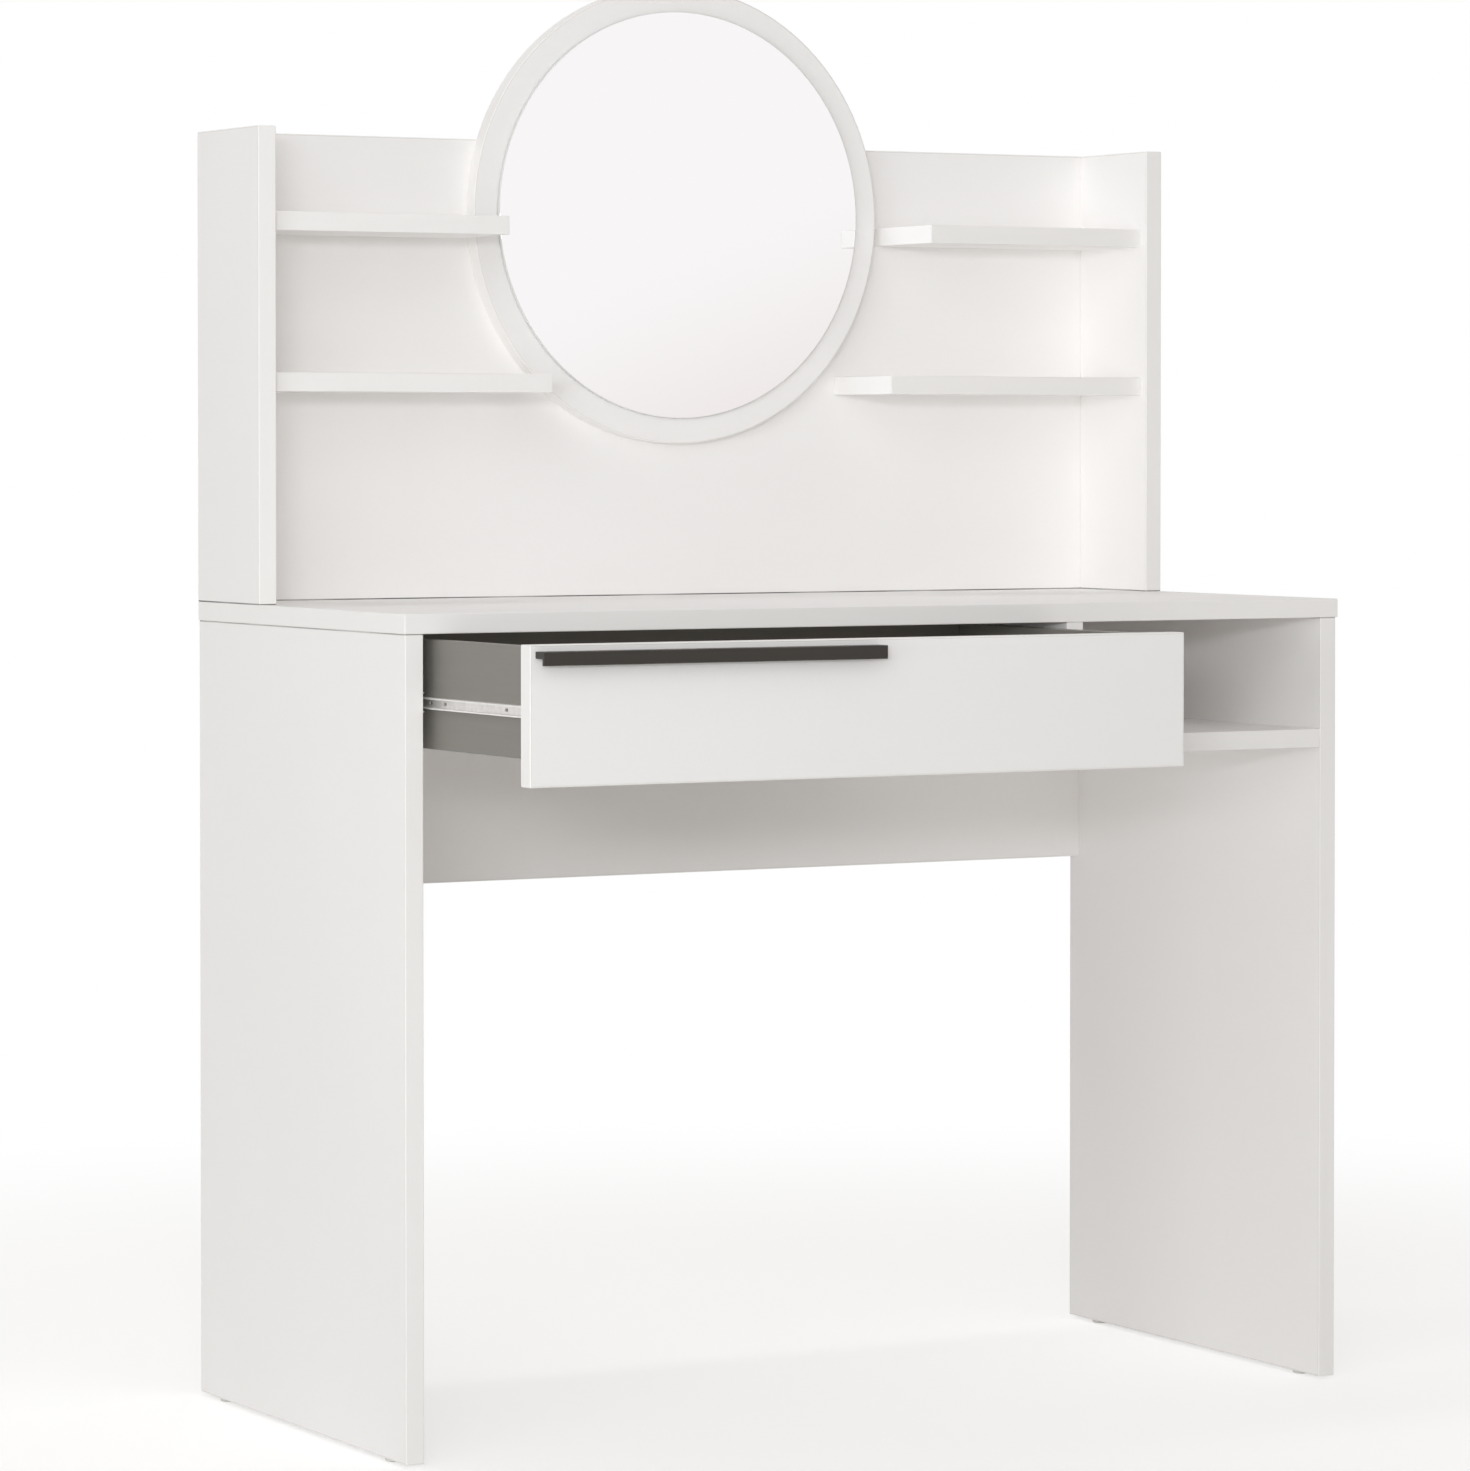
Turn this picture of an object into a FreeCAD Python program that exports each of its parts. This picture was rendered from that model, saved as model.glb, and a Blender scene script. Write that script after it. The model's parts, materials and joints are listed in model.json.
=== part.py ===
import FreeCAD, Part
import os

import Sketcher
from FreeCAD import Placement, Rotation, Vector

# Dressing table: panel-leg desk with one wide drawer, an open compartment, a hutch with four short
# shelves and a round mirror. Millimetres, +Z up, front towards -Y. The origin is on the floor, at the
# middle of the box around the table with its drawer drawn out.

doc = FreeCAD.newDocument("dressing_table")

# Driving dimensions
SIZES = [
    ("table_width", 1000, "across the ends of the desktop and the hutch"),
    ("table_depth", 450, "front to back with the drawer shut"),
    ("desk_height", 756, "floor to the top of the desktop"),
    ("board", 18, "thickness of the white boards"),
    ("edge_round", 1, "rounding of the white boards' edges"),
    ("side_overhang", 1.25, "desktop past the outer faces of the side panels"),
    ("front_overhang", 2, "desktop past the front edges of the side panels"),
    ("modesty_height", 258, "rear panel under the desktop"),
    ("compartment_width", 271.25, "clear width of the open compartment"),
    ("compartment_height", 107.5, "clear height of the open compartment"),
    ("compartment_recess", 0.5, "its shelf's front edge behind the side panels' front edges"),
    ("glide_height", 3, "foot glides lift the side panels off the floor"),
    ("glide_diameter", 16, "round foot of a glide"),
    ("glide_inset", 45, "glides in from the front and the back"),
    ("nail_diameter", 3, "shank of a glide"),
    ("nail_length", 14, "shank of a glide"),
    ("hutch_height", 445, "hutch above the desktop"),
    ("hutch_depth", 140, "front to back of the hutch sides"),
    ("shelf_recess", 10, "small shelves' front edges behind the hutch sides' fronts"),
    ("lower_shelf_rise", 198.5, "desktop to the underside of the lower small shelves"),
    ("shelf_spacing", 150, "lower to upper small shelves"),
    ("shelf_mirror_gap", 9, "upper small shelves' ends clear of the mirror backboard"),
    ("lower_shelf_extra", 46, "lower small shelves longer than the upper ones"),
    ("mirror_rise", 8, "mirror centre above the upper small shelves' tops"),
    ("backboard_diameter", 450, "round board behind the mirror"),
    ("glass_diameter", 400, "round mirror"),
    ("glass_thickness", 4, "mirror glass"),
    ("glass_arris", 0.6, "ground bevel of the glass edge"),
    ("tape_thickness", 1, "mounting pads behind the glass"),
    ("tape_width", 60, "square mounting pads"),
    ("tape_spread", 170, "pads apart, centre to centre"),
    ("drawer_pull", 200, "drawer drawn out at rest"),
    ("front_gap", 2.5, "joint at each end of the inset drawer front"),
    ("top_gap", 3.5, "joint above the drawer front"),
    ("drawer_side_height", 97, "height of the drawer box"),
    ("drawer_side_drop", 2, "box below the top of the drawer front"),
    ("drawer_board", 12, "thickness of the drawer box"),
    ("drawer_round", 0.6, "rounding of the drawer box edges"),
    ("drawer_length", 350, "box and rails behind the drawer front"),
    ("bottom_thickness", 3, "drawer bottom"),
    ("bottom_rise", 10, "drawer bottom above the lower edges of the sides"),
    ("groove_depth", 6, "grooves that hold the drawer bottom"),
    ("handle_length", 340, "drawer pull"),
    ("handle_depth", 16, "pull stands out from the drawer front"),
    ("handle_height", 12, "lip of the pull"),
    ("handle_flange", 6, "flange of the pull"),
    ("handle_lip", 3, "thickness of the lip"),
    ("handle_round", 0.5, "rounding of the pull"),
    ("handle_inset", 5, "pull in from the left end of the drawer front"),
    ("handle_drop", 5.5, "pull below the top of the drawer front"),
    ("handle_screw_inset", 40, "screws in from the ends of the pull"),
    ("slide_gap", 12.7, "drawer box to carcass, each side"),
    ("rail_wall", 1.3, "sheet of the rails"),
    ("rail_slot_height", 3, "spare oblong holes of the rails on the drawer"),
    ("rail_slot_run", 3, "between the round ends of such a hole"),
    ("cabinet_rail_height", 18, "rail on the carcass"),
    ("drawer_rail_height", 10, "rail on the drawer"),
    ("rail_rise", 41, "rail centre above the lower edges of the drawer sides"),
    ("rail_setback", 6, "cabinet rail behind the shut drawer front"),
    ("bumper_gap", 0.4, "stop behind the rail of the shut drawer"),
    ("bumper_length", 6, "stop at the rear of a cabinet rail"),
    ("cage_wall", 0.6, "sheet of the ball cages"),
    ("cage_length", 85, "ball cage"),
    ("cage_setback", 132, "cage behind the cabinet rail's front with the drawer shut"),
    ("cage_gap", 0.7, "cage clear of the cabinet rail's web"),
    ("ball_fit", 0.1, "ball clear of each raceway"),
    ("fit", 0.1, "radial clearance of dowels, cams and screws in their holes"),
    ("dowel_diameter", 8, "carcass dowels"),
    ("dowel_face_depth", 12, "dowel in the face of a board"),
    ("dowel_edge_depth", 18, "dowel in the edge of a board"),
    ("small_dowel_diameter", 6, "drawer dowels"),
    ("small_dowel_face_depth", 10, "drawer dowel in the drawer front"),
    ("small_dowel_edge_depth", 15, "drawer dowel in the edge of a side"),
    ("hole_slack", 0.5, "holes deeper than what goes in them"),
    ("bolt_thread_diameter", 5, "cam bolt in the face of a board"),
    ("bolt_thread_length", 11, "cam bolt in the face of a board"),
    ("cam_diameter", 15, "cam housing"),
    ("cam_depth", 12.5, "cam housing"),
    ("cam_distance", 34, "cam axis in from the edge of the board"),
    ("cam_hole_diameter", 8, "bolt hole in the edge of the board"),
    ("cam_shank_diameter", 6, "cam bolt"),
    ("cam_head_diameter", 7, "cam bolt"),
    ("small_cam_diameter", 12, "drawer cam housing"),
    ("small_cam_depth", 9.5, "drawer cam housing"),
    ("small_cam_distance", 24, "drawer cam axis in from the edge of the side"),
    ("small_cam_hole_diameter", 6.4, "bolt hole in the edge of a drawer side"),
    ("small_cam_shank_diameter", 5, "drawer cam bolt"),
    ("small_cam_head_diameter", 5, "drawer cam bolt"),
    ("cam_neck", 3, "neck of a cam bolt, its diameter and its length"),
    ("cam_core", 4, "core of a cam housing, its diameter"),
    ("confirmat_diameter", 6.4, "connecting screws"),
    ("confirmat_head", 10, "connecting screws"),
    ("confirmat_length", 50, "connecting screws"),
    ("board_screw_diameter", 4, "screws of the backboard and the drawer corners"),
    ("board_screw_head", 8, "screws of the backboard and the drawer corners"),
    ("board_screw_length", 30, "screws of the backboard and the drawer corners"),
    ("short_screw_diameter", 3.5, "screws of the rails, plates and drawer bottom"),
    ("short_screw_head", 6, "screws of the rails, plates and drawer bottom"),
    ("short_screw_length", 11.5, "screws of the rails, plates and drawer bottom"),
    ("handle_screw_diameter", 3, "screws of the pull"),
    ("handle_screw_head", 6, "screws of the pull"),
    ("handle_screw_length", 28, "screws of the pull"),
    ("plate_thickness", 1.5, "steel plates at the rear"),
    ("plate_width", 30, "steel plates at the rear"),
    ("plate_reach", 38, "plates above and below the desktop"),
    ("cam_inset", 60, "rear cams in from the back"),
    ("cam_pitch", 130, "rear cams to middle cams"),
    ("dowel_inset", 40, "front dowels in from the front"),
    ("dowel_pitch", 100, "front dowels apart"),
]

sheet = doc.addObject("Spreadsheet::Sheet", "dims")
for row, (alias, value, note) in enumerate(SIZES, 1):
    sheet.set(f"A{row}", alias)
    sheet.set(f"B{row}", str(value))
    sheet.set(f"C{row}", note)
    sheet.setAlias(f"B{row}", alias)
doc.recompute()

# Levels that several pieces share, as expressions on the driving dimensions
half = "(dims.table_width / 2)"
hutch_wall = "(dims.table_width / 2 - dims.board)"
hutch_x = "(dims.table_width / 2 - dims.board / 2)"
leg_face = "(dims.table_width / 2 - dims.side_overhang)"
wall = f"({leg_face} - dims.board)"
leg_middle = f"({leg_face} - dims.board / 2)"
front = "((dims.drawer_pull + dims.handle_depth - dims.table_depth - dims.plate_thickness) / 2)"
back = f"({front} + dims.table_depth)"
back_face = f"({back} - dims.board)"
board_middle = "(dims.board / 2)"
leg_front = f"({front} + dims.front_overhang)"
rear_panel_y = f"({back} - dims.board / 2)"

under = "(dims.desk_height - dims.board)"
modesty_low = f"({under} - dims.modesty_height)"
shelf_top = f"({under} - dims.compartment_height)"
shelf_low = f"({shelf_top} - dims.board)"
divider_right = f"({wall} - dims.compartment_width)"
divider_left = f"({divider_right} - dims.board)"
divider_x = f"({divider_right} - dims.board / 2)"

hutch_top = "(dims.desk_height + dims.hutch_height)"
hutch_front = f"({back} - dims.hutch_depth)"
small_shelf_front = f"({hutch_front} + dims.shelf_recess)"
lower_low = "(dims.desk_height + dims.lower_shelf_rise)"
upper_low = f"({lower_low} + dims.shelf_spacing)"
upper_end = "(dims.backboard_diameter / 2 + dims.shelf_mirror_gap)"
lower_end = f"({upper_end} - dims.lower_shelf_extra)"
mirror_z = f"({upper_low} + dims.board + dims.mirror_rise)"
backboard_front = f"({back_face} - dims.board)"

drawer_face = f"({front} - dims.drawer_pull)"
box_front = f"({drawer_face} + dims.board)"
box_back = f"({box_front} + dims.drawer_length)"
box_left = f"(-{wall} + dims.slide_gap)"
box_right = f"({divider_left} - dims.slide_gap)"
front_left = f"(-{wall} + dims.front_gap)"
front_right = f"({divider_left} - dims.front_gap)"
front_top = f"({under} - dims.top_gap)"
side_top = f"({front_top} - dims.drawer_side_drop)"
side_low = f"({side_top} - dims.drawer_side_height)"
bottom_low = f"({side_low} + dims.bottom_rise)"
bottom_top = f"({bottom_low} + dims.bottom_thickness)"
inside_left = f"({box_left} + dims.drawer_board)"
inside_right = f"({box_right} - dims.drawer_board)"
rail_z = f"({side_low} + dims.rail_rise)"
rail_front = f"({front} + dims.board + dims.rail_setback)"

AXES = "xyz"
TURN = {
    "+z": Rotation(),
    "-z": Rotation(Vector(1, 0, 0), 180),
    "+x": Rotation(Vector(0, 1, 0), 90),
    "-x": Rotation(Vector(0, 1, 0), -90),
    "+y": Rotation(Vector(1, 0, 0), -90),
    "-y": Rotation(Vector(1, 0, 0), 90),
}
BACKWARD = {"+x": "-x", "-x": "+x", "+y": "-y", "-y": "+y", "+z": "-z", "-z": "+z"}

corners = {}
parts = {}


def moved(at, along, distance):
    """The point a distance from at in the direction along."""
    spot = list(at)
    axis = AXES.index(along[1])
    spot[axis] = f"({spot[axis]} {along[0]} {distance})"
    return tuple(spot)


def on_level(at, along, level):
    """The point with its coordinate on the axis of along set to level."""
    spot = list(at)
    spot[AXES.index(along[1])] = level
    return tuple(spot)


def place(thing, at, origin=("0", "0", "0")):
    """Bind an object's position to the point at, counted from origin."""
    for axis, here, base in zip(AXES, at, origin):
        thing.setExpression(f"Placement.Base.{axis}", f"{here} - {base}")


def new_body(label, at):
    """An empty body at a point of the shared frame."""
    body = doc.addObject("PartDesign::Body", label)
    body.Label = label
    place(body, at)
    corners[body.Name] = at
    return body


def board(label, x, y, z, rounding="dims.edge_round"):
    """A flat board between two planes on each axis, its edges rounded."""
    body = new_body(label, (x[0], y[0], z[0]))
    blank = body.newObject("PartDesign::AdditiveBox", f"{label}_blank")
    for size, (low, high) in zip(("Length", "Width", "Height"), (x, y, z)):
        blank.setExpression(size, f"{high} - {low}")
    doc.recompute()
    if rounding:
        edges = body.newObject("PartDesign::Fillet", f"{label}_edges")
        edges.Base = (blank, ["Edge1"])
        edges.UseAllEdges = True
        edges.setExpression("Radius", rounding)
        doc.recompute()
    return body


def drill(body, at, along, radius, depth):
    """A round hole from a point of the shared frame into a body."""
    tool = body.newObject("PartDesign::SubtractiveCylinder", f"{body.Name}_hole")
    tool.Refine = False
    tool.setExpression("Radius", radius)
    tool.setExpression("Height", depth)
    tool.Placement = Placement(Vector(), TURN[along])
    place(tool, at, corners[body.Name])


def sink(body, at, along, wide, narrow, depth):
    """A countersink from a point of the shared frame into a body."""
    tool = body.newObject("PartDesign::SubtractiveCone", f"{body.Name}_sink")
    tool.Refine = False
    tool.setExpression("Radius1", wide)
    tool.setExpression("Radius2", narrow)
    tool.setExpression("Height", depth)
    tool.Placement = Placement(Vector(), TURN[along])
    place(tool, at, corners[body.Name])


def groove(body, x, y, z):
    """A straight groove between two planes on each axis."""
    tool = body.newObject("PartDesign::SubtractiveBox", f"{body.Name}_groove")
    for size, (low, high) in zip(("Length", "Width", "Height"), (x, y, z)):
        tool.setExpression(size, f"{high} - {low}")
    place(tool, (x[0], y[0], z[0]), corners[body.Name])


def new_sketch(body, plane):
    """A sketch on one of the body's own origin planes."""
    sketch = body.newObject("Sketcher::SketchObject", f"{body.Name}_sketch")
    support = [item for item in body.Origin.OriginFeatures if item.Role == plane][0]
    sketch.AttachmentSupport = [(support, "")]
    sketch.MapMode = "FlatFace"
    return sketch


def outline(body, plane, points):
    """A closed sketch of straight lines whose corners are bound to expressions."""
    sketch = new_sketch(body, plane)
    spots = [Vector(*[float(body.evalExpression(item)) for item in point]) for point in points]
    count = len(points)
    for index in range(count):
        sketch.addGeometry(Part.LineSegment(spots[index], spots[(index + 1) % count]))
    for index in range(count):
        sketch.addConstraint(Sketcher.Constraint("Coincident", index, 2, (index + 1) % count, 1))
    for index, point in enumerate(points):
        for kind, axis, item, value in (
            ("DistanceX", -2, point[0], spots[index].x),
            ("DistanceY", -1, point[1], spots[index].y),
        ):
            if item == "0":
                sketch.addConstraint(Sketcher.Constraint("PointOnObject", index, 1, axis))
            else:
                number = sketch.addConstraint(Sketcher.Constraint(kind, -1, 1, index, 1, value))
                sketch.setExpression(f"Constraints[{number}]", item)
    doc.recompute()
    return sketch


def pad(body, sketch, length, reverse):
    """The sketch pushed out to a length."""
    feature = body.newObject("PartDesign::Pad", f"{body.Name}_pad")
    feature.Profile = sketch
    feature.Reversed = reverse
    feature.setExpression("Length", length)
    doc.recompute()
    return feature


def turned(label, points):
    """A body turned about +Z from corners of radius and height."""
    body = new_body(label, ("0", "0", "0"))
    sketch = outline(body, "XZ_Plane", points)
    turn = body.newObject("PartDesign::Revolution", f"{label}_turn")
    turn.Profile = sketch
    turn.ReferenceAxis = (sketch, ["V_Axis"])
    turn.Angle = 360
    doc.recompute()
    return body


def cross_recess(body, head):
    """The driver's cross in a head whose top is at height 0."""
    long_side = f"0.56 * {head}"
    short_side = f"0.14 * {head}"
    for length, width in ((long_side, short_side), (short_side, long_side)):
        slot = body.newObject("PartDesign::SubtractiveBox", f"{body.Name}_cross")
        slot.setExpression("Length", length)
        slot.setExpression("Width", width)
        slot.setExpression("Height", f"0.18 * {head}")
        place(slot, (f"-({length}) / 2", f"-({width}) / 2", "0"))


def round_plate(label, at, radius, thickness):
    """A round plate that stands upright, its axis along Y."""
    body = new_body(label, at)
    sketch = new_sketch(body, "XZ_Plane")
    size = float(body.evalExpression(radius))
    sketch.addGeometry(Part.Circle(Vector(), Vector(0, 0, 1), size))
    sketch.addConstraint(Sketcher.Constraint("Coincident", 0, 3, -1, 1))
    number = sketch.addConstraint(Sketcher.Constraint("Radius", 0, size))
    sketch.setExpression(f"Constraints[{number}]", radius)
    doc.recompute()
    return body, pad(body, sketch, thickness, True)


def rims(feature):
    """The names of a feature's round edges."""
    return [
        f"Edge{number}"
        for number, edge in enumerate(feature.Shape.Edges, 1)
        if edge.Curve.TypeId == "Part::GeomCircle"
    ]


def channel(label, at, out, reach, height, sheet_size, length):
    """A rail of C section along +Y: its web stands at x 0 and its flanges reach to the side out."""
    body = new_body(label, at)
    tip = f"{out}({reach})"
    web = f"{out}({sheet_size})"
    edge = f"({height}) / 2"
    lip = f"({height}) / 2 - {sheet_size}"
    points = [
        ("0", f"-({edge})"),
        (tip, f"-({edge})"),
        (tip, f"-({lip})"),
        (web, f"-({lip})"),
        (web, lip),
        (tip, lip),
        (tip, edge),
        ("0", edge),
    ]
    pad(body, outline(body, "XZ_Plane", points), length, True)
    return body


# Fasteners, each made once and then repeated where it is used

def make_dowel(label, prefix):
    radius = f"(dims.{prefix}_diameter / 2 - dims.fit)"
    low = f"-dims.{prefix}_face_depth"
    high = f"dims.{prefix}_edge_depth"
    return turned(label, [
        ("0", low),
        (f"{radius} - 1", low),
        (radius, f"{low} + 1"),
        (radius, f"{high} - 1"),
        (f"{radius} - 1", high),
        ("0", high),
    ])


def make_cam_bolt(label, prefix):
    thread = "(dims.bolt_thread_diameter / 2 - dims.fit)"
    collar = f"(dims.{prefix}_hole_diameter / 2 - 3 * dims.fit)"
    shank = f"(dims.{prefix}_shank_diameter / 2)"
    head = f"(dims.{prefix}_head_diameter / 2)"
    end = f"(dims.{prefix}_distance - dims.cam_core / 2 - dims.hole_slack)"
    neck_end = f"({end} - dims.cam_neck)"
    neck_start = f"({neck_end} - dims.cam_neck)"
    return turned(label, [
        ("0", "-dims.bolt_thread_length"),
        (f"{thread} - 1", "-dims.bolt_thread_length"),
        (thread, "-dims.bolt_thread_length + 2"),
        (thread, "0"),
        (collar, "0"),
        (collar, "2"),
        (shank, "2"),
        (shank, neck_start),
        ("dims.cam_neck / 2", neck_start),
        ("dims.cam_neck / 2", neck_end),
        (head, neck_end),
        (head, end),
        ("0", end),
    ])


def make_cam_housing(label, prefix, thickness):
    rim = f"(dims.{prefix}_diameter / 2 - dims.fit)"
    shoulder = f"({thickness} / 2 - dims.{prefix}_head_diameter / 2 - dims.hole_slack)"
    body = turned(label, [
        ("0", "0"),
        (rim, "0"),
        (rim, shoulder),
        ("dims.cam_core / 2", shoulder),
        ("dims.cam_core / 2", f"dims.{prefix}_depth"),
        ("0", f"dims.{prefix}_depth"),
    ])
    cross_recess(body, f"dims.{prefix}_diameter")
    return body


def make_screw(label, prefix):
    shank = f"(dims.{prefix}_diameter / 2)"
    rim = f"(dims.{prefix}_head / 2)"
    end = f"dims.{prefix}_length"
    body = turned(label, [
        ("0", "0"),
        (rim, "0"),
        (shank, f"{rim} - {shank}"),
        (shank, f"{end} - dims.{prefix}_diameter"),
        (f"{shank} / 4", end),
        ("0", end),
    ])
    cross_recess(body, f"dims.{prefix}_head")
    return body


def make_glide():
    foot = "(dims.glide_diameter / 2)"
    nail = "(dims.nail_diameter / 2)"
    return turned("glide_shape", [
        ("0", "-dims.glide_height"),
        (f"{foot} - 1", "-dims.glide_height"),
        (foot, "-dims.glide_height + 1"),
        (foot, "0"),
        (nail, "0"),
        (nail, "dims.nail_length - 3"),
        ("0", "dims.nail_length"),
    ])


def make_ball():
    body = new_body("ball_shape", ("0", "0", "0"))
    ball = body.newObject("PartDesign::AdditiveSphere", "ball")
    ball.setExpression("Radius", ball_radius)
    doc.recompute()
    return body


def make_pad():
    body = new_body("tape_shape", ("0", "0", "0"))
    square = body.newObject("PartDesign::AdditiveBox", "tape")
    square.setExpression("Length", "dims.tape_width")
    square.setExpression("Width", "dims.tape_thickness")
    square.setExpression("Height", "dims.tape_width")
    place(square, ("-dims.tape_width / 2", "0", "-dims.tape_width / 2"))
    doc.recompute()
    return body


ball_gap = "((dims.cabinet_rail_height - dims.drawer_rail_height) / 2 - dims.rail_wall)"
ball_radius = f"({ball_gap} / 2 - dims.ball_fit)"
ball_z = f"(dims.drawer_rail_height / 2 + {ball_gap} / 2)"

shapes = {
    "dowel": make_dowel("dowel_shape", "dowel"),
    "small_dowel": make_dowel("small_dowel_shape", "small_dowel"),
    "cam_bolt": make_cam_bolt("cam_bolt_shape", "cam"),
    "cam_housing": make_cam_housing("cam_housing_shape", "cam", "dims.board"),
    "small_cam_bolt": make_cam_bolt("small_cam_bolt_shape", "small_cam"),
    "small_cam_housing": make_cam_housing("small_cam_housing_shape", "small_cam", "dims.drawer_board"),
    "confirmat": make_screw("confirmat_shape", "confirmat"),
    "board_screw": make_screw("board_screw_shape", "board_screw"),
    "short_screw": make_screw("short_screw_shape", "short_screw"),
    "handle_screw": make_screw("handle_screw_shape", "handle_screw"),
    "glide": make_glide(),
    "ball": make_ball(),
    "tape": make_pad(),
}

# Where each group of fasteners sits: label, then shape, points and directions
spots = {}


def use(label, shape, at, along):
    """Note one more fastener of a group."""
    spots.setdefault(label, []).append((shape, at, along))


def dowel_joint(label, face_board, edge_board, at, along, shape="dowel"):
    """A dowel across a joint: along points out of the face board into the edge of the other."""
    radius = f"dims.{shape}_diameter / 2"
    drill(face_board, at, BACKWARD[along], radius, f"dims.{shape}_face_depth + dims.hole_slack / 2")
    drill(edge_board, at, along, radius, f"dims.{shape}_edge_depth + dims.hole_slack")
    use(label, shape, at, along)


def cam_joint(label, face_board, edge_board, at, along, cam_level, cam_along, shape="cam"):
    """A cam bolt across a joint and its housing, let in from cam_level in the direction cam_along."""
    thread = "dims.bolt_thread_diameter / 2"
    drill(face_board, at, BACKWARD[along], thread, "dims.bolt_thread_length + dims.hole_slack")
    drill(edge_board, at, along, f"dims.{shape}_hole_diameter / 2", f"dims.{shape}_distance")
    centre = on_level(moved(at, along, f"dims.{shape}_distance"), cam_along, cam_level)
    drill(edge_board, centre, cam_along, f"dims.{shape}_diameter / 2", f"dims.{shape}_depth")
    use(f"{label}_bolts", f"{shape}_bolt", at, along)
    use(f"{label}_housings", f"{shape}_housing", centre, cam_along)


def screw_joint(label, shape, outer, inner, at, along, thickness):
    """A countersunk screw through one piece and into another."""
    shank = f"(dims.{shape}_diameter / 2 + dims.fit)"
    rim = f"(dims.{shape}_head / 2 + dims.fit)"
    sink(outer, at, along, rim, shank, f"{rim} - {shank}")
    drill(outer, at, along, shank, thickness)
    depth = f"dims.{shape}_length - {thickness} + dims.hole_slack"
    drill(inner, moved(at, along, thickness), along, shank, depth)
    use(label, shape, at, along)


# Desk boards
legs_x = {"left": (f"-{leg_face}", f"-{wall}"), "right": (wall, leg_face)}
hutch_sides_x = {"left": (f"-{half}", f"-{hutch_wall}"), "right": (hutch_wall, half)}
inward = {"left": "+x", "right": "-x"}
side_sign = {"left": "-", "right": ""}

desktop = board("desktop", (f"-{half}", half), (front, back), (under, "dims.desk_height"))
legs = {
    side: board(f"{side}_side_panel", legs_x[side], (leg_front, back), ("dims.glide_height", under))
    for side in legs_x
}
modesty = board("modesty_panel", (f"-{wall}", wall), (back_face, back), (modesty_low, under))
divider = board(
    "compartment_divider", (divider_left, divider_right), (leg_front, back_face), (shelf_low, under)
)
shelf_front = f"({leg_front} + dims.compartment_recess)"
shelf = board("compartment_shelf", (divider_right, wall), (shelf_front, back_face), (shelf_low, shelf_top))

# Hutch boards
hutch_z = ("dims.desk_height", hutch_top)
hutch = {
    side: board(f"hutch_{side}_side", hutch_sides_x[side], (hutch_front, back), hutch_z)
    for side in hutch_sides_x
}
hutch_back = board("hutch_back_panel", (f"-{hutch_wall}", hutch_wall), (back_face, back), hutch_z)

small_shelves = {}
for tier, low, end in (("upper", upper_low, upper_end), ("lower", lower_low, lower_end)):
    for side, x in (("left", (f"-{hutch_wall}", f"-{end}")), ("right", (end, hutch_wall))):
        small_shelves[tier, side] = board(
            f"{tier}_{side}_shelf", x, (small_shelf_front, back_face), (low, f"({low} + dims.board)")
        )

# Mirror: round backboard and glass
backboard, backboard_pad = round_plate(
    "mirror_backboard", ("0", backboard_front, mirror_z), "dims.backboard_diameter / 2", "dims.board"
)
backboard_edges = backboard.newObject("PartDesign::Fillet", "mirror_backboard_edges")
backboard_edges.Base = (backboard_pad, rims(backboard_pad))
backboard_edges.setExpression("Radius", "dims.edge_round")

glass_back = f"({backboard_front} - dims.tape_thickness)"
glass, glass_pad = round_plate(
    "mirror_glass", ("0", f"({glass_back} - dims.glass_thickness)", mirror_z),
    "dims.glass_diameter / 2", "dims.glass_thickness",
)
glass_edges = glass.newObject("PartDesign::Chamfer", "mirror_glass_edges")
glass_edges.Base = (glass_pad, rims(glass_pad))
glass_edges.setExpression("Size", "dims.glass_arris")
for across in ("-", "+"):
    for up in ("-", "+"):
        spot = (f"({across}dims.tape_spread / 2)", glass_back, f"({mirror_z} {up} dims.tape_spread / 2)")
        use("mirror_tape_pads", "tape", spot, "+z")

# Drawer box, front and pull
drawer_front = board(
    "drawer_front", (front_left, front_right), (drawer_face, box_front), (shelf_low, front_top)
)
drawer_x = {"left": (box_left, inside_left), "right": (inside_right, box_right)}
drawer_sides = {
    side: board(
        f"drawer_{side}_side", drawer_x[side], (box_front, box_back), (side_low, side_top),
        "dims.drawer_round",
    )
    for side in drawer_x
}
drawer_back_y = f"({box_back} - dims.drawer_board)"
drawer_back = board(
    "drawer_back", (inside_left, inside_right), (drawer_back_y, box_back), (bottom_top, side_top),
    "dims.drawer_round",
)
bottom_left = f"({inside_left} - dims.groove_depth)"
bottom_right = f"({inside_right} + dims.groove_depth)"
bottom_front = f"({box_front} - dims.groove_depth)"
drawer_bottom = board(
    "drawer_bottom",
    (f"({bottom_left} + dims.hole_slack)", f"({bottom_right} - dims.hole_slack)"),
    (f"({bottom_front} + dims.hole_slack)", box_back),
    (bottom_low, bottom_top),
    None,
)
groove_z = (f"({bottom_low} - dims.fit)", f"({bottom_top} + dims.fit)")
groove_y = (f"({box_front} - 1)", f"({box_back} + 1)")
groove(drawer_sides["left"], (bottom_left, f"({inside_left} + 1)"), groove_y, groove_z)
groove(drawer_sides["right"], (f"({inside_right} - 1)", bottom_right), groove_y, groove_z)
groove(drawer_front, (bottom_left, bottom_right), (bottom_front, f"({box_front} + 1)"), groove_z)

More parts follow.
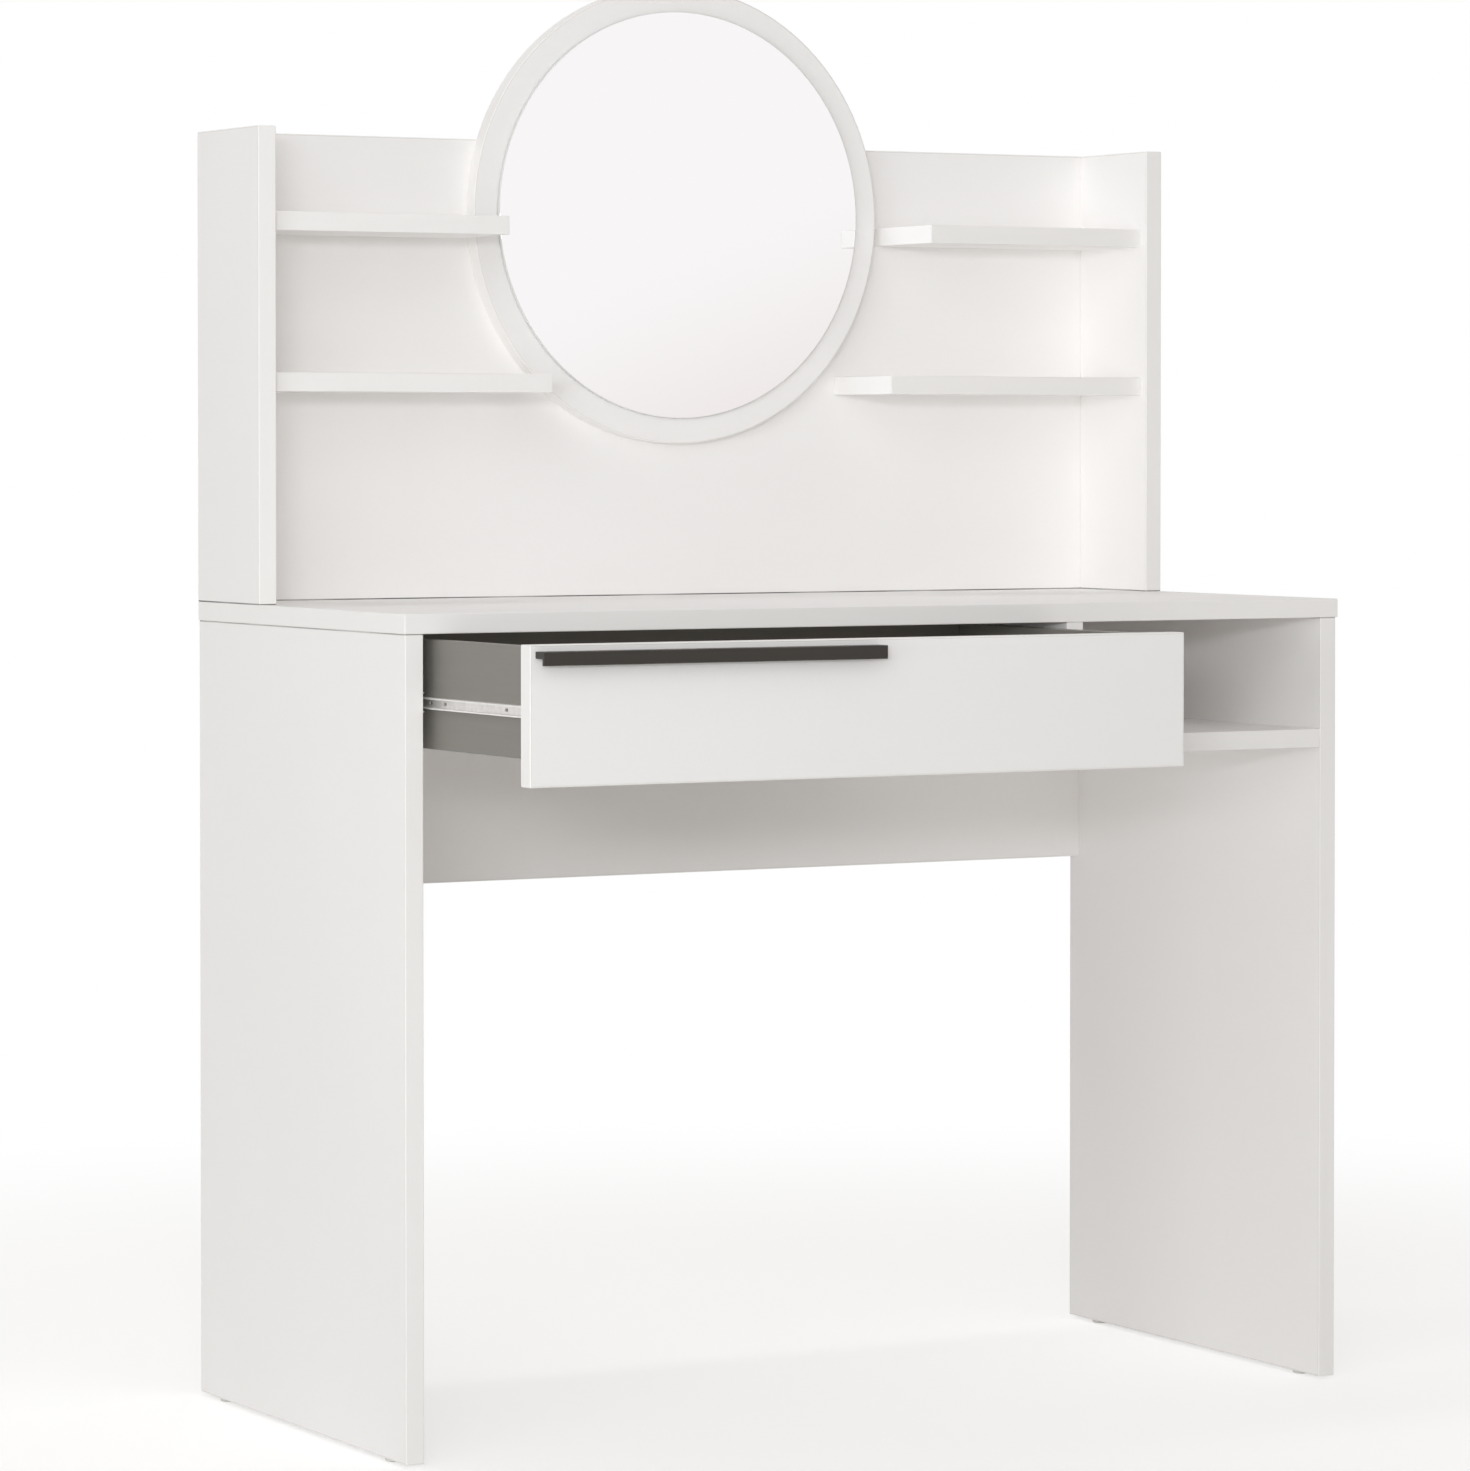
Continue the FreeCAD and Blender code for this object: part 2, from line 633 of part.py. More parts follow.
handle_left = f"({front_left} + dims.handle_inset)"
handle_top = f"({front_top} - dims.handle_drop)"
handle = new_body(
    "drawer_handle",
    (handle_left, f"({drawer_face} - dims.handle_depth)", f"({handle_top} - dims.handle_height)"),
)
handle_under = "dims.handle_height - dims.handle_flange"
handle_pad = pad(handle, outline(handle, "YZ_Plane", [
    ("0", "0"),
    ("dims.handle_lip", "0"),
    ("dims.handle_lip", handle_under),
    ("dims.handle_depth", handle_under),
    ("dims.handle_depth", "dims.handle_height"),
    ("0", "dims.handle_height"),
]), "dims.handle_length", False)
handle_edges = handle.newObject("PartDesign::Fillet", "drawer_handle_edges")
handle_edges.Base = (handle_pad, ["Edge1"])
handle_edges.UseAllEdges = True
handle_edges.setExpression("Radius", "dims.handle_round")
doc.recompute()
handle_screw_z = f"({handle_top} - dims.handle_flange / 2)"
for screw_x in (
    f"({handle_left} + dims.handle_screw_inset)",
    f"({handle_left} + dims.handle_length - dims.handle_screw_inset)",
):
    screw_joint(
        "handle_screws", "handle_screw", drawer_front, handle, (screw_x, box_front, handle_screw_z), "-y",
        "dims.board",
    )

# Slides: rails, ball cages, balls and stops
rail_wall_x = {"left": f"-{wall}", "right": divider_left}
rail_box_x = {"left": box_left, "right": box_right}
outward = {"left": ("", "-"), "right": ("-", "")}
carriers = {"left": legs["left"], "right": divider}
cage_front = f"({rail_front} + dims.cage_setback - dims.drawer_pull / 2)"
cage_height = f"(2 * {ball_z} + dims.cage_wall)"
cage_web = "(dims.rail_wall + dims.cage_gap)"
cage_reach = f"(dims.slide_gap - 1.7 - {cage_web})"
ball_x = "(dims.slide_gap * 0.58)"
bumper_front = f"({front} + dims.board + dims.drawer_length + dims.bumper_gap)"
bumper_rear = f"({bumper_front} + dims.bumper_length)"
cabinet_rail_length = f"({bumper_rear} - {rail_front})"
BALLS = 8
CABINET_SCREWS = (0.11, 0.5, 0.9)
DRAWER_SCREWS = (0.034, 0.66, 0.9)
SPARE_HOLES = (0.126, 0.468, 0.549)
bumpers = []

for side in ("left", "right"):
    to_box, to_wall = outward[side]
    wall_x = rail_wall_x[side]
    box_x = rail_box_x[side]
    toward_wall = BACKWARD[inward[side]]
    cabinet_rail = channel(
        f"{side}_cabinet_rail", (wall_x, rail_front, rail_z), to_box, "dims.slide_gap - 1",
        "dims.cabinet_rail_height", "dims.rail_wall", cabinet_rail_length,
    )
    drawer_rail = channel(
        f"{side}_drawer_rail", (box_x, box_front, rail_z), to_wall, "dims.slide_gap * 0.65",
        "dims.drawer_rail_height", "dims.rail_wall", "dims.drawer_length",
    )
    for share in CABINET_SCREWS:
        spot = (wall_x, f"({rail_front} + {share} * dims.drawer_length)", rail_z)
        head = moved(spot, inward[side], "dims.rail_wall")
        screw_joint(
            "cabinet_rail_screws", "short_screw", cabinet_rail, carriers[side], head, toward_wall,
            "dims.rail_wall",
        )
    for share in DRAWER_SCREWS:
        spot = (box_x, f"({box_front} + {share} * dims.drawer_length)", rail_z)
        head = moved(spot, toward_wall, "dims.rail_wall")
        screw_joint(
            "drawer_rail_screws", "short_screw", drawer_rail, drawer_sides[side], head, inward[side],
            "dims.rail_wall",
        )
    for share in SPARE_HOLES:
        spot = (box_x, f"({box_front} + {share} * dims.drawer_length)", rail_z)
        ends = [moved(spot, end, "dims.rail_slot_run / 2") for end in ("-y", "+y")]
        for end in ends:
            drill(drawer_rail, end, toward_wall, "dims.rail_slot_height / 2", "dims.rail_wall")
        outer_x = moved(spot, toward_wall, "dims.rail_wall")[0]
        slot_x = (outer_x, box_x) if side == "left" else (box_x, outer_x)
        slot_z = [moved(spot, end, "dims.rail_slot_height / 2")[2] for end in ("-z", "+z")]
        groove(drawer_rail, slot_x, [end[1] for end in ends], slot_z)

    cage_x = moved((wall_x, cage_front, rail_z), inward[side], cage_web)
    cage = channel(
        f"{side}_ball_cage", cage_x, to_box, cage_reach, cage_height, "dims.cage_wall", "dims.cage_length"
    )
    for number in range(BALLS):
        step = f"dims.cage_length * {(number + 0.5) / BALLS}"
        spot = moved((wall_x, f"({cage_front} + {step})", rail_z), inward[side], ball_x)
        drill(cage, moved(spot, "+z", f"{cage_height}"), "-z", f"{ball_radius} + 0.2", f"2 * {cage_height}")
        for row in ("+z", "-z"):
            use(f"{side}_slide_balls", "ball", moved(spot, row, ball_z), "+z")

    stop_low = f"({rail_z} - dims.cabinet_rail_height / 2 + dims.rail_wall + dims.fit)"
    stop_high = f"({rail_z} + dims.cabinet_rail_height / 2 - dims.rail_wall - dims.fit)"
    stop_near = moved((wall_x, "0", "0"), inward[side], "dims.rail_wall")[0]
    stop_far = moved((wall_x, "0", "0"), inward[side], "(dims.slide_gap - 2)")[0]
    stop_x = (stop_near, stop_far) if side == "left" else (stop_far, stop_near)
    stop_z = (stop_low, stop_high)
    bumpers.append(
        board(f"{side}_rail_bumper", stop_x, (bumper_front, bumper_rear), stop_z, "dims.drawer_round")
    )

# Joints between the desk boards
front_dowels_y = (
    f"({front} + dims.dowel_inset)",
    f"({front} + dims.dowel_inset + dims.dowel_pitch)",
)
rear_cams_y = (
    f"({back} - dims.cam_inset)",
    f"({back} - dims.cam_inset - dims.cam_pitch)",
)
modesty_z = f"({modesty_low} + dims.modesty_height / 2)"

for side, leg in legs.items():
    sign = side_sign[side]
    leg_x = f"{sign}{leg_middle}"
    inner_x = f"{sign}{wall}"
    into_leg = BACKWARD[inward[side]]
    for y in front_dowels_y:
        dowel_joint("carcass_dowels", desktop, leg, (leg_x, y, under), "-z")
    for y in rear_cams_y:
        cam_joint("carcass_cam", desktop, leg, (leg_x, y, under), "-z", inner_x, into_leg)
    for offset in ("- dims.modesty_height / 3", "+ dims.modesty_height / 3"):
        spot = (inner_x, rear_panel_y, f"({modesty_z} {offset})")
        dowel_joint("carcass_dowels", leg, modesty, spot, inward[side])
    cam_joint("carcass_cam", leg, modesty, (inner_x, rear_panel_y, modesty_z), inward[side], back, "-y")
    for y in (f"({front} + dims.glide_inset)", f"({back} - dims.glide_inset)"):
        spot = (leg_x, y, "dims.glide_height")
        drill(leg, spot, "+z", "dims.nail_diameter / 2 + dims.fit", "dims.nail_length + dims.hole_slack")
        use("foot_glides", "glide", spot, "+z")
    dowel_joint(
        "carcass_dowels", desktop, modesty, (f"({sign}dims.table_width / 5)", rear_panel_y, under), "-z"
    )

for y in front_dowels_y:
    dowel_joint("carcass_dowels", desktop, divider, (divider_x, y, under), "-z")
cam_joint(
    "carcass_cam", desktop, divider, (divider_x, rear_cams_y[1], under), "-z", divider_left, "+x"
)
for z in (f"({shelf_top} + dims.board)", f"({under} - 2 * dims.board)"):
    screw_joint("divider_screws", "confirmat", modesty, divider, (divider_x, back, z), "-y", "dims.board")

shelf_z = f"({shelf_low} + dims.board / 2)"
shelf_middle_y = f"(({shelf_front} + {back_face}) / 2)"
for carrier, x, along in ((legs["right"], wall, "-x"), (divider, divider_right, "+x")):
    for y in (f"({shelf_front} + dims.dowel_inset)", f"({back_face} - dims.dowel_inset)"):
        dowel_joint("carcass_dowels", carrier, shelf, (x, y, shelf_z), along)
    cam_joint("carcass_cam", carrier, shelf, (x, shelf_middle_y, shelf_z), along, shelf_low, "+z")

# Joints of the hutch
for side, panel in hutch.items():
    sign = side_sign[side]
    panel_middle = f"{sign}{hutch_x}"
    inner_x = f"{sign}{hutch_wall}"
    for y in (f"({hutch_front} + 30)", f"({back} - 30)"):
        dowel_joint("hutch_dowels", desktop, panel, (panel_middle, y, "dims.desk_height"), "+z")
    for share in (0.32, 0.66):
        spot = (inner_x, rear_panel_y, f"(dims.desk_height + {share} * dims.hutch_height)")
        dowel_joint("hutch_dowels", panel, hutch_back, spot, inward[side])
    for z in ("(dims.desk_height + dims.cam_inset)", f"({hutch_top} - dims.cam_inset)"):
        cam_joint("hutch_cam", panel, hutch_back, (inner_x, rear_panel_y, z), inward[side], back, "-y")
    dowel_joint(
        "hutch_dowels", desktop, hutch_back,
        (f"({sign}dims.table_width * 0.3)", rear_panel_y, "dims.desk_height"), "+z",
    )
    for tier, low, end in (("upper", upper_low, upper_end), ("lower", lower_low, lower_end)):
        small_shelf = small_shelves[tier, side]
        middle_z = f"({low} + dims.board / 2)"
        for y in (f"({small_shelf_front} + 28)", f"({back_face} - 28)"):
            dowel_joint("hutch_dowels", panel, small_shelf, (inner_x, y, middle_z), inward[side])
        for x in (f"{sign}({hutch_wall} - dims.cam_inset)", f"{sign}({end} + dims.cam_inset)"):
            screw_joint(
                "shelf_screws", "confirmat", hutch_back, small_shelf, (x, back, middle_z), "-y", "dims.board"
            )

for across in ("-", "+"):
    for z in (f"({mirror_z} + 40)", f"({mirror_z} - 120)"):
        spot = (f"({across}dims.backboard_diameter * 0.27)", back, z)
        screw_joint("mirror_board_screws", "board_screw", hutch_back, backboard, spot, "-y", "dims.board")

# Plates that tie the hutch to the desk at the rear
plates = []
plate_back = f"({back} + dims.plate_thickness)"
for side in ("left", "right"):
    centre = f"({side_sign[side]}dims.table_width / 4)"
    plate = board(
        f"{side}_joining_plate",
        (f"({centre} - dims.plate_width / 2)", f"({centre} + dims.plate_width / 2)"),
        (back, plate_back),
        (f"({under} - dims.plate_reach)", "(dims.desk_height + dims.plate_reach)"),
        None,
    )
    for share in (0.3, 0.75):
        for z, panel in (
            (f"({under} - {share} * dims.plate_reach)", modesty),
            (f"(dims.desk_height + {share} * dims.plate_reach)", hutch_back),
        ):
            screw_joint(
                "joining_plate_screws", "short_screw", plate, panel, (centre, plate_back, z), "-y",
                "dims.plate_thickness",
            )
    plates.append(plate)

# Joints of the drawer box
corner_z = (f"({side_low} + 22)", f"({side_top} - 22)")
drawer_side_x = {
    "left": f"({box_left} + dims.drawer_board / 2)",
    "right": f"({box_right} - dims.drawer_board / 2)",
}
inside_x = {"left": inside_left, "right": inside_right}
back_middle_y = f"({box_back} - dims.drawer_board / 2)"
for side, panel in drawer_sides.items():
    x = drawer_side_x[side]
    into_side = BACKWARD[inward[side]]
    cam_joint(
        "drawer_cam", drawer_front, panel, (x, box_front, f"({side_top} - 25)"), "+y", inside_x[side],
        into_side, "small_cam",
    )
    dowel_joint(
        "drawer_dowels", drawer_front, panel, (x, box_front, f"({side_low} + 24)"), "+y", "small_dowel"
    )
    for z in corner_z:
        screw_joint(
            "drawer_corner_screws", "board_screw", panel, drawer_back, (rail_box_x[side], back_middle_y, z),
            inward[side], "dims.drawer_board",
        )
for share in (0.15, 0.5, 0.85):
    x = f"({inside_left} + {share} * ({inside_right} - {inside_left}))"
    screw_joint(
        "drawer_bottom_screws", "short_screw", drawer_bottom, drawer_back, (x, back_middle_y, bottom_low),
        "+z", "dims.bottom_thickness",
    )

doc.recompute()

# Groups of like pieces
inside_groups = set(bumpers + plates + list(shapes.values()))
for label, uses in spots.items():
    links = []
    for shape, at, along in uses:
        link = doc.addObject("App::Link", f"{label}_item")
        link.LinkedObject = shapes[shape]
        link.LinkTransform = False
        link.Placement = Placement(Vector(), TURN[along])
        place(link, at)
        links.append(link)
    group = doc.addObject("Part::Compound", label)
    group.Links = links
    parts[label] = group
for label, members in (("rail_bumpers", bumpers), ("joining_plates", plates)):
    group = doc.addObject("Part::Compound", label)
    group.Links = members
    parts[label] = group
for body in doc.findObjects("PartDesign::Body"):
    if body not in inside_groups:
        parts[body.Label] = body
doc.recompute()

# Every object must be sound before its file is written
for item in doc.Objects:
    if "Invalid" in item.State or "Error" in item.State:
        raise RuntimeError(f"{item.Label} did not rebuild: {item.State}")
os.makedirs("parts", exist_ok=True)
for label, item in sorted(parts.items()):
    if item.Shape.isNull() or not item.Shape.isValid() or not item.Shape.Solids:
        raise RuntimeError(f"{label} is not a valid solid")
    item.Shape.exportStep(f"parts/{label}.step")
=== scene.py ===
"""The looks of a white dressing table with hutch, round mirror and one drawer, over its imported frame."""
import json
import math

import bpy
import numpy as np
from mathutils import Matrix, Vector


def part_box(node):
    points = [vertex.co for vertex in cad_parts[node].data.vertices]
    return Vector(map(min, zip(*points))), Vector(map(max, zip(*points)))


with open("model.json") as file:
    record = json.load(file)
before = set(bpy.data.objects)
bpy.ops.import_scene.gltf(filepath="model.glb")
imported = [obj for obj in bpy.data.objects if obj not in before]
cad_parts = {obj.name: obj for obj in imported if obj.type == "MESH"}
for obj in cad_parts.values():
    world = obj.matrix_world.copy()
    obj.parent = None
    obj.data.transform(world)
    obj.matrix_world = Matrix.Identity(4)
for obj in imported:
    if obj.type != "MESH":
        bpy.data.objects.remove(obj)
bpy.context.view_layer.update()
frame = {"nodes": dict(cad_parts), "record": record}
MM = 0.001


# ---------------------------------------------------------------- shader maths
class Wire:
    """A shader socket; arithmetic on it adds Math nodes to the finish that it belongs to."""

    def __init__(self, finish, socket):
        self.finish, self.socket = finish, socket

    def math(self, operation, *terms):
        return self.finish.node("ShaderNodeMath", {"operation": operation}, dict(enumerate(terms)))

    def __add__(self, other):
        return self.math("ADD", self, other)

    def __mul__(self, other):
        return self.math("MULTIPLY", self, other)

    def __sub__(self, other):
        return self.math("SUBTRACT", self, other)

    def __rsub__(self, other):
        return self.math("SUBTRACT", other, self)

    __radd__, __rmul__ = __add__, __mul__

    def least(self, other):
        return self.math("MINIMUM", self, other)

    def most(self, other):
        return self.math("MAXIMUM", self, other)

    def size(self):
        return self.math("ABSOLUTE", self)

    def sine(self):
        return self.math("SINE", self)

    def root(self):
        return self.math("SQRT", self)

    def rise(self, start, end, first=0.0, last=1.0):
        """first below start, last above end, and smooth between."""
        return self.finish.node("ShaderNodeMapRange", {"interpolation_type": "SMOOTHSTEP", "clamp": True},
                                {0: self, 1: start, 2: end, 3: first, 4: last})

    def fall(self, start, end):
        """1 below start, 0 above end, and smooth between."""
        return self.rise(start, end, 1.0, 0.0)


class Finish:
    """One material's nodes. Every node comes from node(); the other methods only name common ones."""

    def __init__(self, name, block=None):
        self.block = block or bpy.data.materials.new(name)
        self.block.use_nodes = True
        self.tree = self.block.node_tree
        self.tree.nodes.clear()
        self.spot = None

    def node(self, kind, settings=(), sockets=(), out=0):
        made = self.tree.nodes.new(kind)
        for key, value in dict(settings).items():
            setattr(made, key, value)
        for key, value in dict(sockets).items():
            if isinstance(value, Wire):
                self.tree.links.new(value.socket, made.inputs[key])
            else:
                made.inputs[key].default_value = value
        return Wire(self, made.outputs[out]) if len(made.outputs) else None

    def place(self):
        """Object coordinates, which are the part's own frame in metres."""
        self.spot = self.spot or self.node("ShaderNodeTexCoord", out="Object")
        return self.spot

    def axes(self, vector=None):
        """The x, y and z of a vector, or of the place."""
        split = self.node("ShaderNodeSeparateXYZ", {}, {0: vector or self.place()})
        return [Wire(self, end) for end in split.socket.node.outputs]

    def noise(self, per_metre, detail=2.0, roughness=0.5):
        """Cloudy values from 0 to 1, with so many blobs to a metre, along all axes or along each."""
        spread = tuple(float(n) for n in np.broadcast_to(per_metre, 3))
        at = self.node("ShaderNodeVectorMath", {"operation": "MULTIPLY"}, {0: self.place(), 1: spread})
        return self.node("ShaderNodeTexNoise", {},
                         {"Vector": at, "Scale": 1.0, "Detail": detail, "Roughness": roughness})

    def cells(self, per_metre, out="Distance"):
        """Voronoi cells, so many to a metre: the way to the nearest cell's middle, or its own colour."""
        return self.node("ShaderNodeTexVoronoi", {}, {"Vector": self.place(), "Scale": per_metre}, out)

    def tint(self, mask, low, high):
        """The colour low where mask is 0, high where it is 1, and mixed between."""
        low, high = (c if isinstance(c, Wire) else (*c, 1.0) for c in (low, high))
        return self.node("ShaderNodeMix", {"data_type": "RGBA"}, {0: mask, 6: low, 7: high}, 2)

    def relief(self, height, depth):
        """A normal for a surface whose height of 0 to 1 stands for depth metres."""
        return self.node("ShaderNodeBump", {}, {"Height": height, "Distance": depth})

    def ray(self, kind):
        """1 on a ray of such a kind, as Blender names it, and 0 on others."""
        return self.node("ShaderNodeLightPath", out=f"Is {kind} Ray")

    def mixed(self, share, first, second):
        """The shader first where share is 0, second where it is 1, and mixed between."""
        return self.node("ShaderNodeMixShader", {}, {0: share, 1: first, 2: second})

    def surface(self, **sockets):
        """A Principled surface; the keywords are its sockets' names, with _ for a space."""
        plain = {k.replace("_", " "): (*v, 1.0) if isinstance(v, tuple) else v for k, v in sockets.items()}
        return self.shown(self.node("ShaderNodeBsdfPrincipled", {}, plain))

    def shown(self, shader):
        """The finished block, with the shader joined to its output."""
        ends = {"World": "ShaderNodeOutputWorld", "Material": "ShaderNodeOutputMaterial"}
        self.node(ends[self.block.bl_rna.identifier], {}, {"Surface": shader})
        return self.block


# ---------------------------------------------------------------- finishes
def depths(f, low, high):
    """How far a place is below the faces of a box: for each axis, the lesser of its ways to both ends."""
    return [(p - a).least(b - p) for p, a, b in zip(f.axes(), low, high)]


def long_axis(low, high):
    """The axis along which a box is longest."""
    return int(np.argmax(np.subtract(high, low)))


HELD_BY_ENDS = {"hutch_back_panel", "modesty_panel", "compartment_shelf", "upper_left_shelf",
                "lower_left_shelf", "upper_right_shelf", "lower_right_shelf"}
STAND_ON_DESK = {"hutch_left_side", "hutch_right_side", "hutch_back_panel"}
BEAR_THE_DESK = {"left_side_panel", "right_side_panel"}
# Painted shade: the drawer front is the same white melamine, darkened by this factor to stand for less
# light on it.
DRAWER_FRONT_PAINTED_SHADE = 0.955
EDGING_ENDS = 0.80 * MM, 1.05 * MM
EDGING_JOINT = 1.2 * MM
BOARD_SKIN_ENDS = 0.4 * MM, 0.6 * MM
FOIL_ENDS = 0.3 * MM, 0.5 * MM
SCREEN_PITCH = 1.9 * MM


def desk_joint_painted_shade(f, name, low, high):
    """Painted shade where a board meets the desktop: a dark line, uneven along its run, or None for other
    boards.
    """
    # The near-black line is painted shade, standing for the shadow in the joint with the desktop.
    if name in STAND_ON_DESK:
        shadow_line = (f.axes()[2] - low[2]).fall(0.6 * MM, 1.3 * MM)
        weakest, unevenness = 0.50, 0.45
    elif name in BEAR_THE_DESK:
        shadow_line = (high[2] - f.axes()[2]).fall(0.5 * MM, 1.2 * MM)
        weakest, unevenness = 0.35, 0.3
    else:
        return None
    patchy = f.noise(9.0, 2.0).rise(0.3, 0.6)
    return shadow_line * (weakest + patchy * unevenness)


def white_board(name, low, high):
    """White melamine board: edging on the free narrow sides of its box, and painted shade at the desktop
    joint.
    """
    f = Finish(name)
    deep = depths(f, low, high)
    thin = int(np.argmin(np.subtract(high, low)))
    free = [i for i in range(3) if i != thin and not (i == 0 and name in HELD_BY_ENDS)]
    edge = deep[free[0]].least(deep[free[-1]])
    below = deep[0].least(deep[1]).least(deep[2])
    # The drawer front gets a darker copy of the white as painted shade.
    shade = DRAWER_FRONT_PAINTED_SHADE if name == "drawer_front" else 1.0
    return melamine(f, edge, below, desk_joint_painted_shade(f, name, low, high), shade)


def white_disc(name, low, high):
    """White melamine round board with edging: its edge is the rim of the circle in its box."""
    f = Finish(name)
    x, y, z = f.axes()
    middle, reach = np.add(low, high) / 2, (high[0] - low[0]) / 2
    across, up = x - float(middle[0]), z - float(middle[2])
    edge = reach - (across * across + up * up).root()
    return melamine(f, edge, edge.least((y - low[1]).least(high[1] - y)))


def melamine(f, edge, below, joint_painted_shade=None, shade=1.0):
    """Satin white melamine. edge is the way in from the edging's outside, below the depth under the skin.

    The foil has a fine pearl relief and a faint cloudiness. The edging is a shade warmer and smoother,
    ends in a hairline joint just inside the rounded corner, and drilled holes show raw chipboard. The
    dark line at the desktop is painted shade, standing for the shadow in the gap under an eased end.
    shade below 1 darkens the whole white as painted shade, and only the drawer front gets it.
    """
    cloud, mottle, pearl = f.noise(2.6, 3.0), f.noise(340.0, 1.0), f.noise(900.0, 1.0)
    band = edge.fall(*EDGING_ENDS)
    joint = (edge - EDGING_JOINT).size().fall(0.06 * MM, 0.2 * MM)
    raw = below.rise(*BOARD_SKIN_ENDS)
    whites = (0.930, 0.920, 0.9125), (0.944, 0.9345, 0.9275), (0.911, 0.900, 0.8905)
    plain, pale, speck = (tuple(shade * v for v in white) for white in whites)
    face = f.tint(cloud.rise(0.3, 0.7), plain, pale)
    face = f.tint(mottle.rise(0.35, 0.75) * 0.25, face, speck)
    face = f.tint(band, face, (0.927, 0.9165, 0.9045))
    face = f.tint(joint * 0.5, face, (0.42, 0.40, 0.37))
    # Painted shade: a near-black line along the desktop joint stands for the shadow in the gap.
    if joint_painted_shade:
        face = f.tint(joint_painted_shade, face, (0.045, 0.040, 0.034))
    flakes = f.tint(f.noise(520.0, 3.0, 0.7).rise(0.35, 0.65), (0.16, 0.10, 0.055), (0.46, 0.33, 0.20))
    dullness = 0.58 + cloud * 0.06 + mottle * 0.05 - band * 0.08
    height = pearl * 0.25 - joint + f.noise(700.0, 2.0) * raw * 6.0
    return f.surface(Base_Color=f.tint(raw, face, flakes), Roughness=dullness.most(raw * 0.85),
                     Normal=f.relief(height, 0.05 * MM))


def drawer_foil(name, low, high):
    """Matt grey foil with a fine drawn grain along the board, and raw fibreboard in holes and grooves."""
    f = Finish(name)
    deep = depths(f, low, high)
    run = long_axis(low, high)
    raw = deep[0].least(deep[1]).least(deep[2]).rise(*FOIL_ENDS)
    fine = [14.0 if i == run else 900.0 for i in range(3)]
    wide = [4.0 if i == run else 120.0 for i in range(3)]
    grain, bands, cloud = f.noise(fine, 2.0), f.noise(wide, 2.0), f.noise(5.0, 2.0)
    shade = grain * 0.55 + bands * 0.3 + cloud * 0.15
    face = f.tint(shade.rise(0.2, 0.8), (0.215, 0.2045, 0.186), (0.239, 0.2285, 0.2085))
    fibre = f.tint(f.noise(800.0, 3.0), (0.27, 0.19, 0.11), (0.44, 0.33, 0.21))
    return f.surface(Base_Color=f.tint(raw, face, fibre), Roughness=(0.50 + grain * 0.14).most(raw * 0.9),
                     Normal=f.relief(grain + raw * f.noise(700.0, 2.0) * 3.0, 0.03 * MM))


def drawer_hardboard(name, low, high):
    """Hardboard 3 mm thick: grey lacquer above, and below the brown back with its woven screen print."""
    f = Finish(name)
    x, y, z = f.axes()
    above = z.rise(high[2] - 0.3 * MM, high[2] - 0.1 * MM)
    weave = 2 * math.pi / SCREEN_PITCH
    screen = (x * weave).sine() * (y * weave).sine()
    speck, cloud = f.noise(420.0, 2.0, 0.6), f.noise(4.0, 3.0)
    lacquer = f.tint(speck * 0.5 + cloud * 0.5, (0.465, 0.450, 0.418), (0.525, 0.510, 0.476))
    brown = f.tint(speck * 0.6 + cloud * 0.4, (0.135, 0.078, 0.042), (0.270, 0.170, 0.098))
    brown = f.tint(screen.rise(-0.6, 0.8), brown, (0.30, 0.20, 0.12))
    return f.surface(Base_Color=f.tint(above, brown, lacquer),
                     Roughness=above.rise(0.0, 1.0, 0.82, 0.46) + speck * 0.08,
                     Normal=f.relief(speck * 0.3 + (1.0 - above) * screen * 2.0, 0.06 * MM))


def pull_coating(name, low, high):
    """Dark brown-black powder coating, finely sandy and rubbed a little lighter along the front edges."""
    f = Finish(name)
    _, y, z = f.axes()
    sand, cloud = f.noise(1500.0, 2.0, 0.6), f.noise(24.0, 3.0)
    front, top, under = y - low[1], high[2] - z, z - low[2]
    corner = (front + top).least(front + under)
    rubbed = corner.fall(0.3 * MM, 1.1 * MM) * cloud.rise(0.35, 0.65)
    coat = f.tint(sand * 0.6 + cloud * 0.4, (0.0165, 0.0135, 0.0095), (0.029, 0.0245, 0.018))
    return f.surface(Base_Color=f.tint(rubbed * 0.6, coat, (0.074, 0.066, 0.053)),
                     Roughness=0.42 + sand * 0.16 - rubbed * 0.1, Normal=f.relief(sand, 0.035 * MM))


def silvered_glass(name, low, high):
    """Mirror glass: silver seen through the front, a pale ground edge and grey paint behind."""
    f = Finish(name)
    y = f.axes()[1]
    front = y.fall(low[1] + 0.05 * MM, low[1] + 0.12 * MM)
    behind = y.rise(high[1] - 0.12 * MM, high[1] - 0.05 * MM)
    ground, cloud = f.noise(1800.0, 2.0), f.noise(6.0, 2.0)
    rim = f.tint(ground, (0.70, 0.71, 0.70), (0.80, 0.80, 0.79))
    paint = f.tint(ground * 0.6 + cloud * 0.4, (0.19, 0.20, 0.205), (0.245, 0.25, 0.255))
    colour = f.tint(front, f.tint(behind, rim, paint), (0.935, 0.94, 0.937))
    return f.surface(Base_Color=colour, Metallic=front,
                     Roughness=(0.012 + cloud * 0.006) * front + (1.0 - front) * (0.30 + ground * 0.15))


def foam(name, low, high):
    """Dark foam mounting tape with open pores."""
    f = Finish(name)
    pores, cloud = f.cells(1600.0), f.noise(60.0, 3.0)
    shade = pores.rise(0.1, 0.5) * 0.7 + cloud * 0.3
    return f.surface(Base_Color=f.tint(shade, (0.020, 0.020, 0.021), (0.085, 0.085, 0.087)),
                     Roughness=0.86 + cloud * 0.08, Normal=f.relief(pores, 0.15 * MM))


